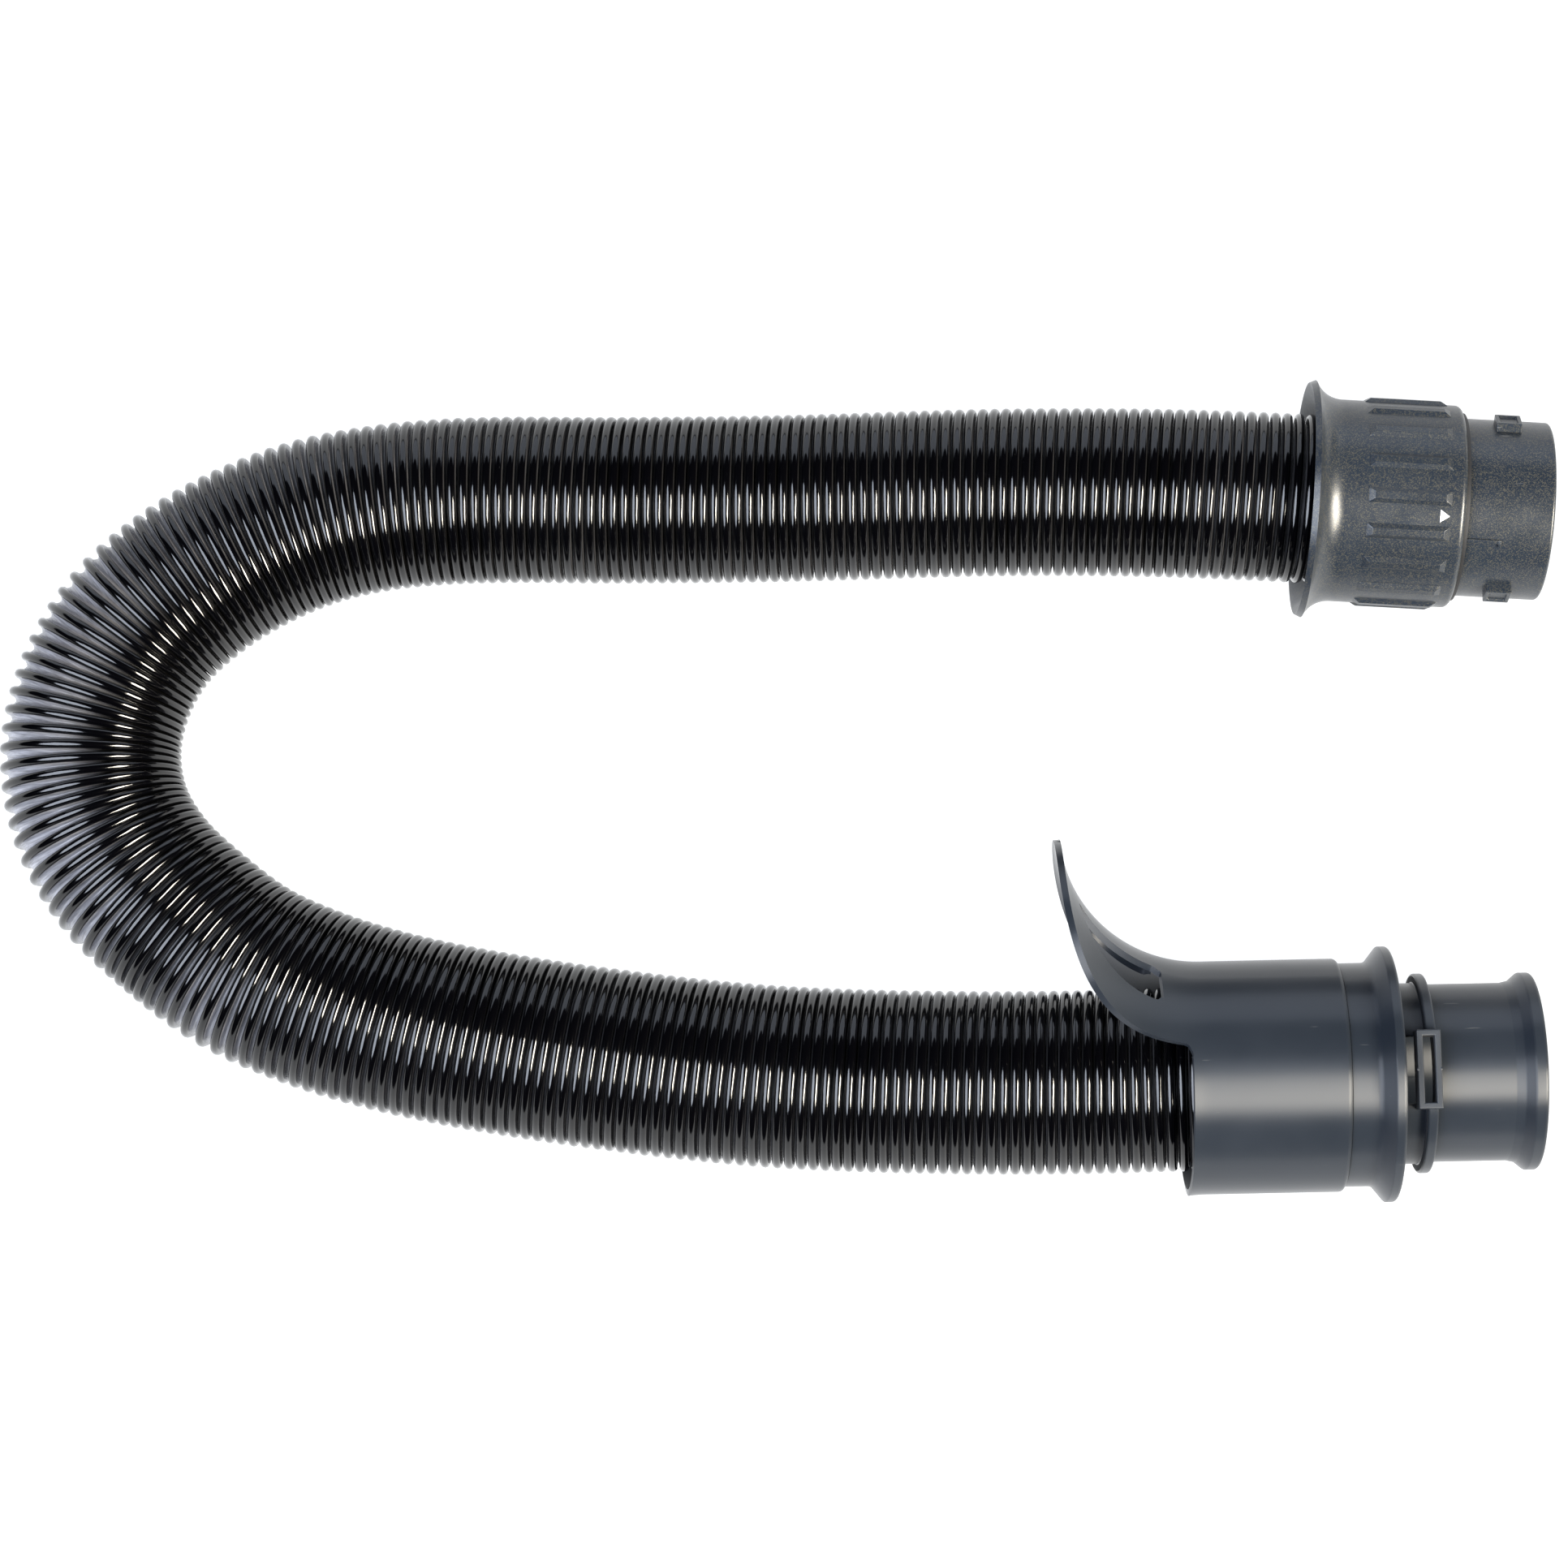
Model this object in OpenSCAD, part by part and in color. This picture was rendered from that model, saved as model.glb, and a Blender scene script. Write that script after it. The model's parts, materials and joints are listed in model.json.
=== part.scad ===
// Stretch hose of an upright vacuum cleaner, lying on a floor in a U, in millimetres.
// The bayonet cuff at one end plugs into the wand, the hooked cuff at the other end into the machine.
// +Z is up from the floor, +X runs from the bend to the cuffs, +Y from the machine side to the wand side.

/* [Hose] */
// Outer diameter over the ribs on the wand side
hose_od_wand = 42.5; // [36:0.5:52]
// Outer diameter over the ribs on the machine side
hose_od_machine = 45.5; // [38:0.5:54]
// Mean thickness of the ribbed plastic wall
hose_wall = 1.6; // [1.2:0.1:2.4]
// Thickness of a steel sleeve that weighs as much as the reinforcing wire
wire_layer = 0.4; // [0.3:0.05:0.6]

/* [Fits] */
// Radial gap between a hose end and the fitting screwed onto it
screw_gap = 0.05; // [0.02:0.01:0.15]
// Radial gap of a turning piece in its cuff
swivel_gap = 0.25; // [0.15:0.05:0.5]
// Axial gap on each side of a turning piece
end_play = 0.3; // [0.2:0.05:0.6]
// Radial gap between pieces that are pushed together for good
push_gap = 0.05; // [0.02:0.01:0.1]

/* [Hose end fittings] */
// Wall of the fitting on each hose end
ferrule_wall = 1.2; // [0.8:0.1:2]
// How far the wand fitting's flange stands out from its tube
wand_ferrule_flange_h = 0.9; // [0.6:0.1:2]
// How far the machine fitting's flange stands out from its tube
machine_ferrule_flange_h = 2.8; // [1.5:0.1:4]
// Length of a fitting's flange along the hose
ferrule_flange_l = 3.3; // [2:0.1:6]
// Length of hose held in each fitting
grip_l = 18; // [12:0.5:24]
// Thickness of a snap ring along the hose
snap_ring_l = 1.4; // [0.8:0.1:2.4]
// Depth of the groove that a snap ring springs into
snap_groove_h = 0.6; // [0.3:0.1:0.9]
// Width of the gap in a snap ring
snap_ring_gap = 9; // [4:0.5:16]
// Thickness of a rubber seal along the hose
seal_l = 1.8; // [1:0.1:3]

/* [Wand cuff] */
// Wall of the grip collar
collar_wall = 1.65; // [1.2:0.05:3]
// Length of the grip collar from its flared rim to its shoulder
collar_l = 36.4; // [34:0.2:46]
// Outer diameter of the flared rim
flare_od = 59.6; // [58:0.2:66]
// Length of the flare
flare_l = 7; // [5:0.5:10]
// Number of grip bars
bar_count = 18; // [8:1:24]
// Length of a grip bar
bar_l = 20.4; // [10:0.2:22]
// Width of a grip bar at its foot
bar_w = 3.8; // [2:0.1:5]
// Height of a grip bar
bar_h = 0.9; // [0.4:0.1:1.5]
// Outer diameter of the bayonet spigot
wand_spigot_od = 44.4; // [40:0.2:44.6]
// Wall of the bayonet spigot
wand_spigot_wall = 2.2; // [1.4:0.1:3]
// Length of the bayonet spigot beyond the collar
wand_spigot_l = 22; // [18:0.5:40]
// Length of a bayonet lug along the spigot
lug_l = 6.3; // [4:0.1:10]
// Width of a bayonet lug round the spigot
lug_w = 6; // [3:0.1:10]
// Height of a bayonet lug
lug_h = 2; // [1:0.1:3]

/* [Machine cuff] */
// Wall of the sleeve
sleeve_wall = 1.6; // [1.4:0.1:3]
// Length of the sleeve
sleeve_l = 36; // [34:0.5:44]
// Wall of the stop body behind the stop flange
stop_wall = 1.95; // [1.4:0.05:3]
// Length of the stop body beyond the sleeve
stop_l = 12.6; // [10:0.2:20]
// Outer diameter of the stop flange
stop_flange_od = 62.8; // [60:0.2:72]
// Outer diameter of the neck between the stop flange and the ring
neck_od = 44.4; // [40:0.2:45]
// Outer diameter of the machine spigot
machine_spigot_od = 43.6; // [40:0.2:45]
// Wall of the machine spigot
machine_spigot_wall = 2; // [1.4:0.1:3]
// Length of the machine spigot beyond the stop flange
machine_spigot_l = 34.8; // [30:0.2:50]
// Outer diameter of the ring on the spigot
ring_od = 49; // [46:0.2:56]
// Outer diameter of the spigot's end flange
end_flange_od = 48.4; // [45:0.2:54]
// Width of the catch loop round the spigot
catch_w = 19; // [12:0.5:24]
// Length of the catch loop along the spigot
catch_l = 5.8; // [5:0.1:9]

/* [Hooked tongue] */
// Reach of the tongue's tip from the sleeve's axis
tongue_reach = 59.9; // [52:0.1:64]
// Radius of the tongue's curve from along the hose to straight out
tongue_curve = 34; // [26:0.5:36]
// Width of the tongue
tongue_w = 60; // [44:1:62]
// Width of the spine between the tongue's two windows
spine_w = 16.6; // [8:0.2:22]
// Angle of the tongue round the sleeve, from level with the bend up towards +Z
tongue_angle = 14.5; // [0:0.5:90]

/* [Hidden] */

// Sides of the swept hose and faces of turned pieces
hose_sides = 12;
$fn = 96;
eps = 0.01;

// Centreline of the hose, from its end in the wand cuff round the bend to its end in the machine cuff
route = [
    [162, 71.2, 29.8], [149, 72, 29.8], [136, 72.8, 29.8], [116, 74, 29], [96, 75, 27.6],
    [76, 75.6, 26.2], [56, 75.8, 25], [36, 75.6, 24], [16, 75.2, 23.2], [-4, 75, 22.5],
    [-24, 75, 22], [-44, 75.1, 21.6], [-64, 75.4, 21.4], [-82, 75, 21.5], [-99, 73.4, 21.8],
    [-116, 69.8, 22.2], [-132, 63.4, 22.5], [-147, 54.4, 22.7], [-160, 42.6, 22.8],
    [-168.5, 27.8, 22.8], [-172, 11, 22.8], [-169, -6, 22.8], [-160, -20.8, 22.8],
    [-147, -33, 22.8], [-132, -44, 22.8], [-115, -51.6, 22.8], [-97, -57.2, 22.8],
    [-78, -61.4, 23], [-58, -64.8, 23.2], [-38, -67.6, 23.5], [-18, -70, 24],
    [2, -71.8, 24.7], [22, -72.8, 25.5], [42, -73.3, 26.4], [62, -73.5, 27.4],
    [82, -73.3, 28.6], [100, -72.8, 30.2], [115, -72.3, 31.4], [135, -71.9, 31.4]
];
// Points of the route where the bend starts and ends, and where each cuff's rim is
bend_start = 14;
bend_end = 26;
apex = 20;
last = len(route) - 1;
wand_rim = 2;

// Places of the two cuffs, from the hose ends that they hold
wand_way = route[0] - route[wand_rim];
wand_yaw = atan2(wand_way.y, wand_way.x);
wand_hose_end = norm(wand_way);
machine_way = route[last] - route[last - 1];
machine_yaw = atan2(machine_way.y, machine_way.x);
machine_hose_end = 30;

// Least that a spigot's inner flange stands out from its tube, and the seals' gap from what they lie beside
spigot_step = 1.2;
seal_inset = 0.5;

// Hose radii
wand_hose_r = hose_od_wand / 2;
machine_hose_r = hose_od_machine / 2;

// Radii of the wand cuff, from the hose outwards
wand_ferrule_bore = wand_hose_r + screw_gap;
wand_ferrule_r = wand_ferrule_bore + ferrule_wall;
wand_spigot_r = wand_spigot_od / 2;
wand_ferrule_flange_r = max(wand_ferrule_r + wand_ferrule_flange_h, wand_spigot_r + spigot_step);
collar_bore = wand_ferrule_flange_r + swivel_gap;
collar_r = collar_bore + collar_wall;
flare_r = max(flare_od / 2, collar_r + 2 * collar_wall);
collar_end_wall = 2;
collar_shoulder = 2;
wand_bore = wand_spigot_r - wand_spigot_wall;
wand_spigot_flange_r = collar_bore - push_gap;

// Places along the wand cuff, from its rim
wand_lip_l = 2.9;
wand_ferrule_end = wand_hose_end + screw_gap + wand_lip_l;
wand_ferrule_start = wand_hose_end - grip_l;
wand_ring_at = wand_ferrule_end - ferrule_flange_l - end_play - snap_ring_l;
wand_seal_at = wand_ferrule_end + end_play;
wand_flange_at = wand_seal_at + seal_l + push_gap;
collar_wall_at = collar_l - collar_end_wall;
wand_spigot_end = collar_l + wand_spigot_l;
spigot_lip = 0.8;
gasket_l = 0.9;
gasket_w = 1.3;

// Bars on the wand cuff: where they start, how deep they root, their bevel and the angle of the first
bar_start = 12.3;
bar_root = 0.4;
bar_bevel = 1;
bar_phase = 97;

// Lugs on the wand spigot: where they start, their angles, how deep they root and the dish in their tops
lug_start = collar_l + 7.8;
lug_angles = [34, 166, 280];
lug_root = 1;
lug_border = 1;
lug_dish = 0.6;

// L-shaped rib on the wand spigot
rib_angle = 122.5;
rib_h = 0.4;
rib_w = 1;
rib_l = 9.5;
rib_foot_w = 1.9;
rib_foot_l = 0.7;

// Arrow on the wand cuff, between two bars
arrow_angle = bar_phase + 180 / bar_count;
arrow_at = 30;
arrow_l = 2.3;
arrow_w = 3.1;
arrow_depth = 0.3;

// Radii of the machine cuff, from the hose outwards
machine_ferrule_bore = machine_hose_r + screw_gap;
machine_ferrule_r = machine_ferrule_bore + ferrule_wall;
neck_r = neck_od / 2;
machine_ferrule_flange_r = max(
    machine_ferrule_r + machine_ferrule_flange_h,
    neck_r + spigot_step + stop_wall
);
sleeve_bore = machine_ferrule_flange_r + swivel_gap;
sleeve_r = sleeve_bore + sleeve_wall;
stop_plug_r = sleeve_bore - push_gap;
stop_step = 1.2;
stop_r = sleeve_r - stop_step;
stop_bore = stop_plug_r - stop_wall;
stop_flange_r = max(stop_flange_od / 2, sleeve_r + stop_step);
machine_spigot_r = machine_spigot_od / 2;
machine_bore = machine_spigot_r - machine_spigot_wall;
ring_r = ring_od / 2;
end_flange_r = end_flange_od / 2;
machine_spigot_flange_r = stop_bore - push_gap;

// Places along the machine cuff, from the sleeve's rim
machine_lip_l = 2.6;
machine_ferrule_end = machine_hose_end + screw_gap + machine_lip_l;
machine_ferrule_start = machine_hose_end - grip_l;
machine_ring_at = machine_ferrule_end - ferrule_flange_l - end_play - snap_ring_l;
machine_seal_at = machine_ferrule_end + end_play;
machine_flange_at = machine_seal_at + seal_l + push_gap;
machine_flange_l = 2.2;
stop_end = sleeve_l + stop_l;
stop_end_wall = 2;
stop_flange_l = 2.6;
stop_cone_l = 3;
machine_spigot_end = stop_end + machine_spigot_l;
ring_at = stop_end + 5.8;
ring_l = 2.6;
end_flange_l = 3.1;
end_flare_l = 4.3;
end_flare_belly = 0.5;
sleeve_shoulder = 1.2;

// Catch loop over the window in the neck: its place, its height, its bars and how deep it roots
catch_angle = 90;
catch_at = ring_at + ring_l - catch_l + 0.6;
catch_top = ring_r + 1.3;
catch_bar = 1.5;
catch_root = 0.3;
window_gap = 0.3;

// Tongue, seen along the sleeve: the sleeve's rim, where the curve starts, the centre of the round end
// and of its windows' outer edge, and how far past the tip the uncut bell runs
sleeve_rim = -1.8;
tongue_turn = 2.4;
tongue_rim_cut = 1;
tongue_tip_r = tongue_w / 2;
tongue_root_w = 42;
tongue_window_r = 20.2;
tongue_window_centre = 27.5;
tongue_window_end = -8.8;

// Direction round a cuff, in degrees from +Y towards +Z, as an angle about the cuff's own axis
function around(angle) = 90 + angle;

// Points of an arc in the profile plane
function arc(centre, radius, from, to, steps = 10) = [
    for (i = [0 : steps])
        let (a = from + (to - from) * i / steps)
        centre + radius * [cos(a), sin(a)]
];

// Hose radius at a route point: it grows from the wand side's to the machine side's round the bend
function grown(i) = max(0, min(1, (i - bend_start) / (apex - bend_start)));
function hose_r(i) = wand_hose_r + (machine_hose_r - wand_hose_r) * grown(i);

// Direction of the hose at a route point, and the level direction across it
function unit(v) = v / norm(v);
function heading(i) = unit(route[min(i + 1, last)] - route[max(i - 1, 0)]);
function across(i) = unit(cross([0, 0, 1], heading(i)));

// One ring of points round the centreline, with a point at the bottom
function ring(i, inset) = [
    for (k = [0 : hose_sides - 1])
        let (a = 360 * k / hose_sides - 90, n = across(i), b = cross(heading(i), n))
        route[i] + (hose_r(i) - inset) * (cos(a) * n + sin(a) * b)
];

// A tube along the route between two of its points, from one depth below the outer surface to another
module route_tube(first, final, outer_inset, inner_inset) {
    count = final - first + 1;
    n = hose_sides;
    outer = [for (i = [first : final]) each ring(i, outer_inset)];
    inner = [for (i = [first : final]) each ring(i, inner_inset)];
    shift = count * n;
    skin = [
        for (j = [0 : count - 2], k = [0 : n - 1])
            let (a = j * n + k, b = j * n + (k + 1) % n)
            each [[a, a + n, b + n], [a, b + n, b]]
    ];
    lining = [for (f = skin) [f[0] + shift, f[2] + shift, f[1] + shift]];
    ends = [
        for (j = [0, count - 1], k = [0 : n - 1])
            let (a = j * n + k, b = j * n + (k + 1) % n, c = b + shift, d = a + shift)
            each (j == 0 ? [[a, b, c], [a, c, d]] : [[a, c, b], [a, d, c]])
    ];
    polyhedron(points = concat(outer, inner), faces = concat(skin, lining, ends));
}

// Puts a cuff's own frame, its axis along Z from its rim, in its place at the hose end
module at_wand_cuff() {
    translate(route[wand_rim]) rotate([0, 0, wand_yaw]) rotate([0, 90, 0]) children();
}

module at_machine_cuff() {
    translate(route[last]) rotate([0, 0, machine_yaw]) rotate([0, 90, 0])
        translate([0, 0, -machine_hose_end]) children();
}

// A turned piece from its profile of [radius, place along the axis] points
module turned(profile) {
    rotate_extrude() polygon(profile);
}

// A plain ring
module washer(inner_r, outer_r, from, to) {
    turned([[inner_r, from], [outer_r, from], [outer_r, to], [inner_r, to]]);
}

// Hose wall and wire, in the three stretches that move apart when the hose flexes
module hose_wall_wand_run() {
    color("#101012") route_tube(0, bend_start, 0, hose_wall);
}

module hose_wall_bend() {
    color("#1b1c20") route_tube(bend_start, bend_end, 0, hose_wall);
}

module hose_wall_machine_run() {
    color("#101012") route_tube(bend_end, last, 0, hose_wall);
}

module wire_stretch(first, final) {
    outside = hose_wall + push_gap;
    color("#8c8f94") route_tube(first, final, outside, outside + wire_layer);
}

module wire_wand_run() {
    wire_stretch(0, bend_start);
}

module wire_bend() {
    wire_stretch(bend_start, bend_end);
}

module wire_machine_run() {
    wire_stretch(bend_end, last);
}

// Fitting screwed onto a hose end: a tube, a flange that turns in the cuff and a lip over the hose's cut end
module end_fitting(bore, outer, flange, lip_bore, from, hose_end, to) {
    turned([
        [bore, from], [outer, from], [outer, to - ferrule_flange_l], [flange, to - ferrule_flange_l],
        [flange, to], [lip_bore, to], [lip_bore, hose_end], [bore, hose_end]
    ]);
}

module wand_end_fitting() {
    lip_bore = wand_hose_r - hose_wall;
    color("#1d1e22") at_wand_cuff()
        end_fitting(wand_ferrule_bore, wand_ferrule_r, wand_ferrule_flange_r, lip_bore,
            wand_ferrule_start, wand_hose_end + screw_gap, wand_ferrule_end);
}

module machine_end_fitting() {
    lip_bore = machine_hose_r - hose_wall;
    color("#1d1e22") at_machine_cuff()
        end_fitting(machine_ferrule_bore, machine_ferrule_r, machine_ferrule_flange_r, lip_bore,
            machine_ferrule_start, machine_hose_end + screw_gap, machine_ferrule_end);
}

// Spring ring with a gap, in a groove of the cuff in front of the fitting's flange
module snap_ring(inner_r, outer_r, from) {
    difference() {
        washer(inner_r, outer_r, from, from + snap_ring_l);
        translate([0, -snap_ring_gap / 2, from - eps])
            cube([outer_r + 1, snap_ring_gap, snap_ring_l + 2 * eps]);
    }
}

module wand_snap_ring() {
    color("#c9c6ba") at_wand_cuff()
        snap_ring(wand_ferrule_r + swivel_gap, collar_bore + snap_groove_h - push_gap, wand_ring_at);
}

module machine_snap_ring() {
    color("#c9c6ba") at_machine_cuff()
        snap_ring(machine_ferrule_r + swivel_gap, sleeve_bore + snap_groove_h - push_gap, machine_ring_at);
}

// Rubber ring between the turning fitting and the spigot
module wand_lip_seal() {
    color("#18181a") at_wand_cuff()
        washer(wand_bore + seal_inset, wand_spigot_flange_r - seal_inset,
            wand_seal_at, wand_seal_at + seal_l);
}

module machine_lip_seal() {
    color("#18181a") at_machine_cuff()
        washer(machine_bore + seal_inset, machine_spigot_flange_r - seal_inset,
            machine_seal_at, machine_seal_at + seal_l);
}

// Bar with bevelled sides and ends, standing on a cylinder, its length along Z
module grip_bar(base_r) {
    foot = base_r - bar_root;
    top = base_r + bar_h;
    side = bar_w / 2;
    end = bar_start + bar_l;
    ramp = 1.5 * bar_bevel;
    intersection() {
        translate([0, 0, bar_start]) linear_extrude(bar_l) polygon([
            [foot, -side], [base_r, -side], [top, bar_bevel - side],
            [top, side - bar_bevel], [base_r, side], [foot, side]
        ]);
        rotate([90, 0, 0]) linear_extrude(bar_w, center = true) polygon([
            [foot, bar_start], [base_r, bar_start], [top, bar_start + ramp],
            [top, end - ramp], [base_r, end], [foot, end]
        ]);
    }
}

// Grip collar: flared bell mouth, ring of bars and an end wall that holds the spigot's flange
module wand_grip_collar() {
    lip_drop = flare_r - collar_r;
    curve = (lip_drop * lip_drop + flare_l * flare_l) / (2 * lip_drop);
    centre = [collar_r + curve, flare_l];
    lip_angle = 180 + asin(flare_l / curve);
    groove_to = wand_ring_at + snap_ring_l + push_gap;
    outside = concat(
        arc(centre, curve, lip_angle, 180),
        arc([collar_r - collar_shoulder, collar_l - collar_shoulder], collar_shoulder, 0, 90, 6)
    );
    inside = concat(
        [[wand_spigot_r + push_gap, collar_l], [wand_spigot_r + push_gap, collar_wall_at],
            [collar_bore, collar_wall_at], [collar_bore, groove_to],
            [collar_bore + snap_groove_h, groove_to], [collar_bore + snap_groove_h, wand_ring_at - push_gap],
            [collar_bore, wand_ring_at - push_gap]],
        arc(centre, curve + collar_wall, 180, lip_angle)
    );
    color("#34383d") at_wand_cuff() difference() {
        union() {
            turned(concat(outside, inside));
            for (i = [0 : bar_count - 1])
                rotate([0, 0, around(bar_phase) + i * 360 / bar_count]) grip_bar(collar_r);
        }
        arrow(arrow_depth + bar_h);
    }
}

// Arrow that points along the wand, set in a shallow recess of the collar
module arrow(height) {
    rotate([0, 0, around(arrow_angle)]) translate([collar_r - arrow_depth, 0, arrow_at])
        rotate([90, 0, 90]) linear_extrude(height)
            polygon([[-arrow_w / 2, 0], [arrow_w / 2, 0], [0, arrow_l]]);
}

module wand_arrow_inlay() {
    color("white") at_wand_cuff() arrow(arrow_depth);
}

// Bayonet spigot: tube, inner flange, three lugs and an L-shaped rib that stops the twist
module wand_bayonet_spigot() {
    root_r = wand_spigot_r - lug_root;
    dish_r = wand_spigot_r + lug_h - lug_dish;
    rib_at = collar_l + gasket_l + push_gap;
    color("#34383d") at_wand_cuff() {
        difference() {
            union() {
                turned(concat(
                    [[wand_bore, wand_flange_at], [wand_spigot_flange_r, wand_flange_at],
                        [wand_spigot_flange_r, collar_wall_at], [wand_spigot_r, collar_wall_at]],
                    arc([wand_spigot_r - spigot_lip, wand_spigot_end - spigot_lip], spigot_lip, 0, 90, 5),
                    [[wand_bore, wand_spigot_end]]
                ));
                for (a = lug_angles)
                    rotate([0, 0, around(a)]) translate([root_r, -lug_w / 2, lug_start])
                        cube([lug_root + lug_h, lug_w, lug_l]);
            }
            for (a = lug_angles)
                rotate([0, 0, around(a)])
                    translate([dish_r, lug_border - lug_w / 2, lug_start + lug_border])
                        cube([2 * lug_dish, lug_w - 2 * lug_border, lug_l - 2 * lug_border]);
        }
        rotate([0, 0, around(rib_angle)]) {
            translate([root_r, -rib_w / 2, rib_at])
                cube([lug_root + rib_h, rib_w, collar_l + rib_l - rib_at]);
            translate([root_r, -rib_w / 2, collar_l + rib_l - rib_foot_l])
                cube([lug_root + rib_h, rib_foot_w, rib_foot_l]);
        }
    }
}

// Rubber gasket that the wand's socket presses against
module wand_face_gasket() {
    color("#18181a") at_wand_cuff()
        washer(wand_spigot_r + push_gap, wand_spigot_r + gasket_w, collar_l + push_gap, collar_l + gasket_l);
}

// How far out the uncut bell runs: to the tongue's tip, or to where its curve ends if that is farther
function bell_reach() = max(tongue_reach, sleeve_r + tongue_curve);

// What is cut from the sleeve's bell to leave the tongue: all outside its outline, and its two windows
module tongue_cut() {
    tip_centre = tongue_reach - tongue_tip_r;
    depth = tongue_curve + 2 * sleeve_wall - tongue_turn;
    span = bell_reach() + 2 * tongue_rim_cut;
    translate([0, 0, -depth]) linear_extrude(depth + sleeve_rim) difference() {
        circle(span);
        translate([tip_centre, 0]) circle(tongue_tip_r);
        polygon([[0, -tongue_root_w / 2], [tip_centre, -tongue_tip_r],
            [tip_centre, tongue_tip_r], [0, tongue_root_w / 2]]);
    }
    translate([0, 0, -depth]) linear_extrude(depth + tongue_window_end) difference() {
        translate([tongue_window_centre, 0]) circle(tongue_window_r);
        translate([0, -spine_w / 2]) square([tongue_reach, spine_w]);
    }
}

// Sleeve round the machine end, with the tongue moulded on its rim: a tube that opens into a bell, cut back
module machine_hooked_sleeve() {
    bell_centre = [sleeve_r + tongue_curve, tongue_turn];
    bell_r = bell_reach() + tongue_rim_cut;
    bell_back = tongue_curve + sleeve_wall;
    groove_to = machine_ring_at + snap_ring_l + push_gap;
    outside = concat(
        [[bell_r, tongue_turn - tongue_curve]],
        arc(bell_centre, tongue_curve, 270, 180, 16),
        arc([sleeve_r - sleeve_shoulder, sleeve_l - sleeve_shoulder], sleeve_shoulder, 0, 90, 6)
    );
    inside = concat(
        [[sleeve_bore, sleeve_l], [sleeve_bore, groove_to], [sleeve_bore + snap_groove_h, groove_to],
            [sleeve_bore + snap_groove_h, machine_ring_at - push_gap],
            [sleeve_bore, machine_ring_at - push_gap]],
        arc(bell_centre, bell_back, 180, 270, 16),
        [[bell_r, tongue_turn - bell_back]]
    );
    color("#3b3f45") at_machine_cuff() difference() {
        turned(concat(outside, inside));
        rotate([0, 0, around(tongue_angle)]) tongue_cut();
    }
}

// Stop body: plugs into the sleeve and carries the flange that meets the machine
module machine_stop_body() {
    cone_at = stop_end - stop_flange_l - stop_cone_l;
    color("#3b3f45") at_machine_cuff() turned([
        [stop_bore, machine_seal_at], [stop_plug_r, machine_seal_at], [stop_plug_r, sleeve_l + push_gap],
        [stop_r, sleeve_l + push_gap], [stop_r, cone_at], [stop_flange_r, stop_end - stop_flange_l],
        [stop_flange_r, stop_end], [neck_r + push_gap, stop_end],
        [neck_r + push_gap, stop_end - stop_end_wall], [stop_bore, stop_end - stop_end_wall]
    ]);
}

// Machine spigot: neck, ring, end flange, and a catch loop over a window in the neck
module machine_spigot() {
    flare_at = machine_spigot_end - end_flange_l - end_flare_l;
    window_w = catch_w - 2 * catch_bar;
    window_at = stop_end + window_gap;
    window_l = catch_at + catch_l - catch_bar - window_at;
    color("#3b3f45") at_machine_cuff() {
        difference() {
            turned([
                [machine_bore, machine_flange_at], [machine_spigot_flange_r, machine_flange_at],
                [machine_spigot_flange_r, machine_flange_at + machine_flange_l],
                [neck_r, machine_flange_at + machine_flange_l], [neck_r, ring_at], [ring_r, ring_at],
                [ring_r, ring_at + ring_l], [machine_spigot_r, ring_at + ring_l],
                [machine_spigot_r, flare_at],
                [machine_spigot_r + end_flare_belly, flare_at + end_flare_l / 2],
                [end_flange_r, machine_spigot_end - end_flange_l], [end_flange_r, machine_spigot_end],
                [machine_bore, machine_spigot_end]
            ]);
            rotate([0, 0, around(catch_angle)])
                translate([machine_bore / 2, -window_w / 2, window_at]) cube([ring_r, window_w, window_l]);
        }
        rotate([0, 0, around(catch_angle)]) difference() {
            translate([machine_bore + catch_root, -catch_w / 2, catch_at])
                cube([catch_top - machine_bore - catch_root, catch_w, catch_l]);
            translate([machine_bore, -window_w / 2, catch_at + catch_bar])
                cube([catch_top, window_w, catch_l - 2 * catch_bar]);
        }
    }
}

hose_wall_wand_run();
hose_wall_bend();
hose_wall_machine_run();
wire_wand_run();
wire_bend();
wire_machine_run();
wand_end_fitting();
wand_snap_ring();
wand_lip_seal();
wand_grip_collar();
wand_bayonet_spigot();
wand_face_gasket();
wand_arrow_inlay();
machine_end_fitting();
machine_snap_ring();
machine_lip_seal();
machine_hooked_sleeve();
machine_stop_body();
machine_spigot();
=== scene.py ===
"""Stretch hose of an upright vacuum cleaner, lying in a U, with a bayonet cuff and a hooked cuff."""

import json
import math

import bmesh
import bpy
import numpy as np
from mathutils import Matrix, Vector


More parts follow.
